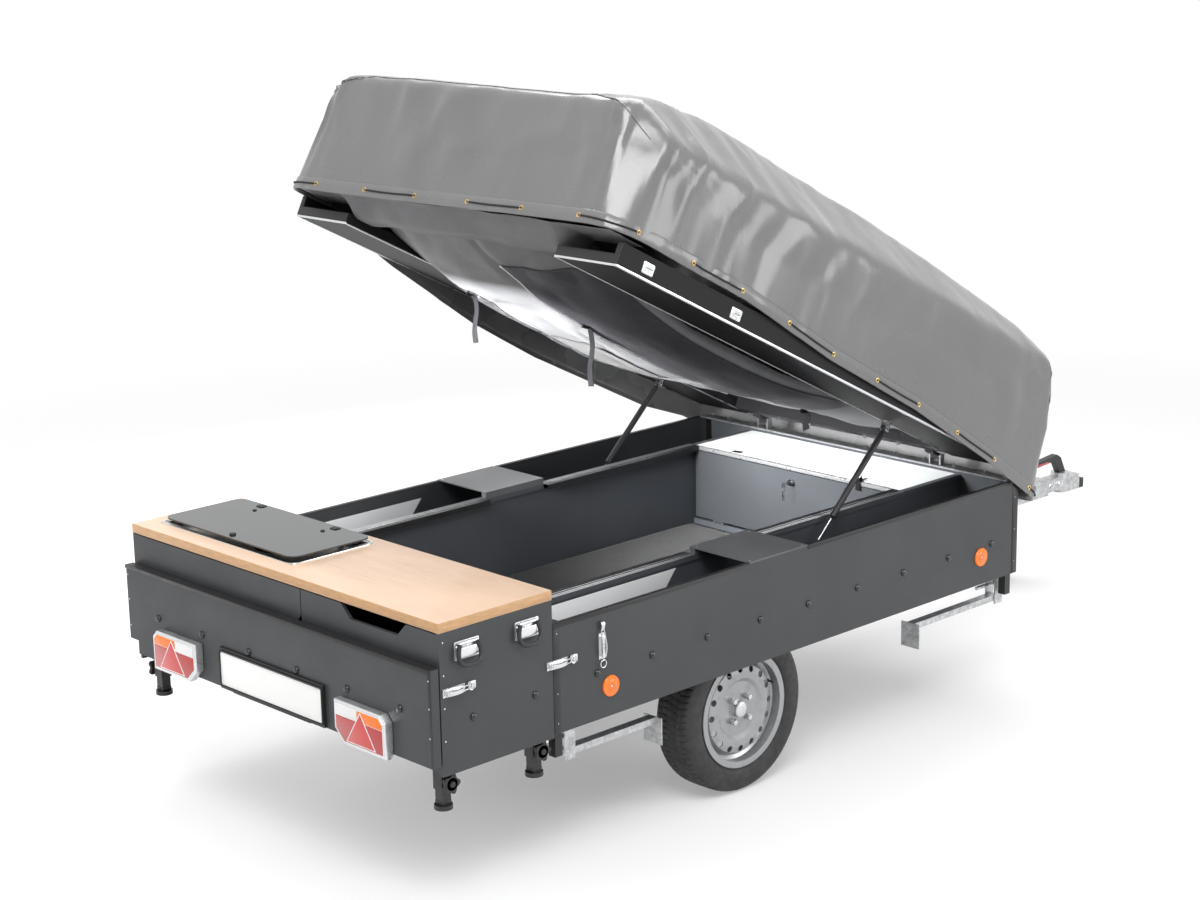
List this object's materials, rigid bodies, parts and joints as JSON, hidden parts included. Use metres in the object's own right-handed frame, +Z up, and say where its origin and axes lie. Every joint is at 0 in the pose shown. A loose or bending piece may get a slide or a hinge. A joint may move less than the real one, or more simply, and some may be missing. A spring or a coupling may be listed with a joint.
{
  "type": "folding camper trailer",
  "caption": "Single-axle folding camper trailer with open luggage tub, rear kitchen unit with glass-topped hob, and tent lid under a grey cover raised on two gas struts.",
  "frame": {"origin": "on the ground, under the middle of the bounding box", "axes": "+Y towards the towing vehicle, +X to the right, +Z up"},
  "size_m": [1.64, 4.291, 2.3127],
  "materials": {
    "galvanised": "hot-dip galvanised, dull",
    "zinc": "bright zinc plate",
    "panel": "anthracite laminate, satin",
    "black_frame": "black powder coat",
    "silver_sheet": "bright sheet",
    "grey_sheet": "grey sheet",
    "white_board": "white laminate",
    "carpet": "black carpet on board",
    "beech": "pale beech laminate",
    "steel_tray": "brushed",
    "dark_glass": "tinted, polished",
    "black_plastic": "grained",
    "amber": "lens",
    "red_lens": "lens",
    "white_plate": "blank",
    "tyre": "treaded",
    "rim_silver": "silver lacquer",
    "cover_fabric": "coated, glossy",
    "tent_fabric": "woven",
    "rubber": "solid"
  },
  "bodies": {
    "chassis": {"chassis_frame": "galvanised", "drawbar": "galvanised", "coupling_head": "galvanised", "coupling_grip_and_nose": "black_plastic", "axle": "galvanised", "body_floor": "carpet", "side_panel_right": "panel", "side_panel_left": "panel", "corner_posts": "black_frame", "inner_walls": "panel", "end_walls": "panel", "channel_liners": "silver_sheet", "wheel_arches": "grey_sheet", "bridge_plates": "grey_sheet", "locker_top": "white_board", "locker_plinth": "panel", "side_reflectors": "amber", "hinge_bar": "galvanised", "kitchen_carcass": "panel", "worktop": "beech", "kitchen_fronts": "panel", "hob_tray": "steel_tray", "leg_sleeves": "black_frame", "carry_handles": "zinc", "body_fittings": "zinc", "jockey_tube": "galvanised"},
    "wheel_right": {"tyre_right": "tyre", "rim_right": "rim_silver"},
    "wheel_left": {"tyre_left": "tyre", "rim_left": "rim_silver"},
    "lid": {"lid_board_right": "panel", "lid_board_left": "panel", "lid_fittings": "zinc", "lid_front_bar": "black_frame", "tent_cover": "cover_fabric", "tent_bundle": "tent_fabric"},
    "tailgate_panel": {"tailgate": "panel", "tail_lamps": "red_lens", "plate_holder": "black_plastic", "number_plate": "white_plate"},
    "hob_lid": {"hob_glass_lid": "dark_glass"},
    "locker_door": {"locker_flap": "panel", "locker_lock": "zinc"},
    "jockey_lift": {"jockey_inner_tube": "zinc"},
    "jockey_swivel": {"jockey_fork": "zinc"},
    "jockey_roller": {"jockey_wheel": "rubber"},
    "strut_right": {"strut_tube_right": "black_frame"},
    "strut_piston_right": {"strut_rod_right": "zinc"},
    "strut_left": {"strut_tube_left": "black_frame"},
    "strut_piston_left": {"strut_rod_left": "zinc"},
    "steady_rear_right_arm": {"steady_rear_right": "galvanised"},
    "steady_front_right_arm": {"steady_front_right": "galvanised"},
    "steady_rear_left_arm": {"steady_rear_left": "galvanised"},
    "steady_front_left_arm": {"steady_front_left": "galvanised"},
    "kitchen_leg_rear_right_slide": {"kitchen_leg_rear_right": "black_frame"},
    "kitchen_leg_rear_left_slide": {"kitchen_leg_rear_left": "black_frame"},
    "kitchen_leg_front_right_slide": {"kitchen_leg_front_right": "black_frame"},
    "kitchen_leg_front_left_slide": {"kitchen_leg_front_left": "black_frame"}
  },
  "joints": [
    {"name": "wheel_right_spin", "type": "hinge", "parent": "chassis", "child": "wheel_right", "pos_m": [0.6775, -0.7585, 0.28], "axis": [1, 0, 0], "continuous": true},
    {"name": "wheel_left_spin", "type": "hinge", "parent": "chassis", "child": "wheel_left", "pos_m": [-0.6775, -0.7585, 0.28], "axis": [1, 0, 0], "continuous": true},
    {"name": "lid_hinge", "type": "hinge", "parent": "chassis", "child": "lid", "pos_m": [0, 0.6355, 0.825], "axis": [1, 0, 0], "range_deg": [0, 26.8]},
    {"name": "strut_right_swing", "type": "hinge", "parent": "lid", "child": "strut_right", "pos_m": [0.56, 0.17483, 1.03529], "axis": [-1, 0, 0], "range_deg": [0, 45.23]},
    {"name": "strut_right_stroke", "type": "slide", "parent": "strut_right", "child": "strut_piston_right", "axis": [0, 0.7266, 0.6871], "range_m": [0, 0.1696]},
    {"name": "strut_left_swing", "type": "hinge", "parent": "lid", "child": "strut_left", "pos_m": [-0.56, 0.17483, 1.03529], "axis": [-1, 0, 0], "range_deg": [0, 45.23]},
    {"name": "strut_left_stroke", "type": "slide", "parent": "strut_left", "child": "strut_piston_left", "axis": [0, 0.7266, 0.6871], "range_m": [0, 0.1696]},
    {"name": "tailgate_drop", "type": "hinge", "parent": "chassis", "child": "tailgate_panel", "pos_m": [0, -2.0795, 0.452], "axis": [1, 0, 0], "range_deg": [0, 90]},
    {"name": "hob_lid_lift", "type": "hinge", "parent": "chassis", "child": "hob_lid", "pos_m": [0, -1.6795, 0.911], "axis": [-1, 0, 0], "range_deg": [0, 88]},
    {"name": "locker_flap_drop", "type": "hinge", "parent": "chassis", "child": "locker_door", "pos_m": [0, 0.3155, 0.481], "axis": [1, 0, 0], "range_deg": [0, 88]},
    {"name": "steady_rear_right_lower", "type": "hinge", "parent": "chassis", "child": "steady_rear_right_arm", "pos_m": [0.7, -1.5185, 0.34], "axis": [-1, 0, 0], "range_deg": [0, 47.3]},
    {"name": "steady_front_right_lower", "type": "hinge", "parent": "chassis", "child": "steady_front_right_arm", "pos_m": [0.7, 0.6405, 0.34], "axis": [1, 0, 0], "range_deg": [0, 33.9]},
    {"name": "steady_rear_left_lower", "type": "hinge", "parent": "chassis", "child": "steady_rear_left_arm", "pos_m": [-0.7, -1.5185, 0.34], "axis": [-1, 0, 0], "range_deg": [0, 47.3]},
    {"name": "steady_front_left_lower", "type": "hinge", "parent": "chassis", "child": "steady_front_left_arm", "pos_m": [-0.7, 0.6405, 0.34], "axis": [1, 0, 0], "range_deg": [0, 33.9]},
    {"name": "kitchen_leg_rear_right_drop", "type": "slide", "parent": "chassis", "child": "kitchen_leg_rear_right_slide", "axis": [0, 0, -1], "range_m": [0, 0.305]},
    {"name": "kitchen_leg_rear_left_drop", "type": "slide", "parent": "chassis", "child": "kitchen_leg_rear_left_slide", "axis": [0, 0, -1], "range_m": [0, 0.305]},
    {"name": "kitchen_leg_front_right_drop", "type": "slide", "parent": "chassis", "child": "kitchen_leg_front_right_slide", "axis": [0, 0, -1], "range_m": [0, 0.305]},
    {"name": "kitchen_leg_front_left_drop", "type": "slide", "parent": "chassis", "child": "kitchen_leg_front_left_slide", "axis": [0, 0, -1], "range_m": [0, 0.305]},
    {"name": "jockey_raise", "type": "slide", "parent": "chassis", "child": "jockey_lift", "axis": [0, 0, 1], "range_m": [0, 0.125]},
    {"name": "jockey_turn", "type": "hinge", "parent": "jockey_lift", "child": "jockey_swivel", "pos_m": [-0.09, 1.7155, 0.228], "axis": [0, 0, 1], "continuous": true},
    {"name": "jockey_wheel_spin", "type": "hinge", "parent": "jockey_swivel", "child": "jockey_roller", "pos_m": [-0.09, 1.6755, 0.1], "axis": [1, 0, 0], "continuous": true}
  ],
  "couplings": [
    {"joint": "strut_right_swing", "follows": "lid_hinge", "ratio": 1.6874},
    {"joint": "strut_right_stroke", "follows": "lid_hinge", "m_per_rad": 0.36149},
    {"joint": "strut_left_swing", "follows": "lid_hinge", "ratio": 1.6874},
    {"joint": "strut_left_stroke", "follows": "lid_hinge", "m_per_rad": 0.36149}
  ]
}
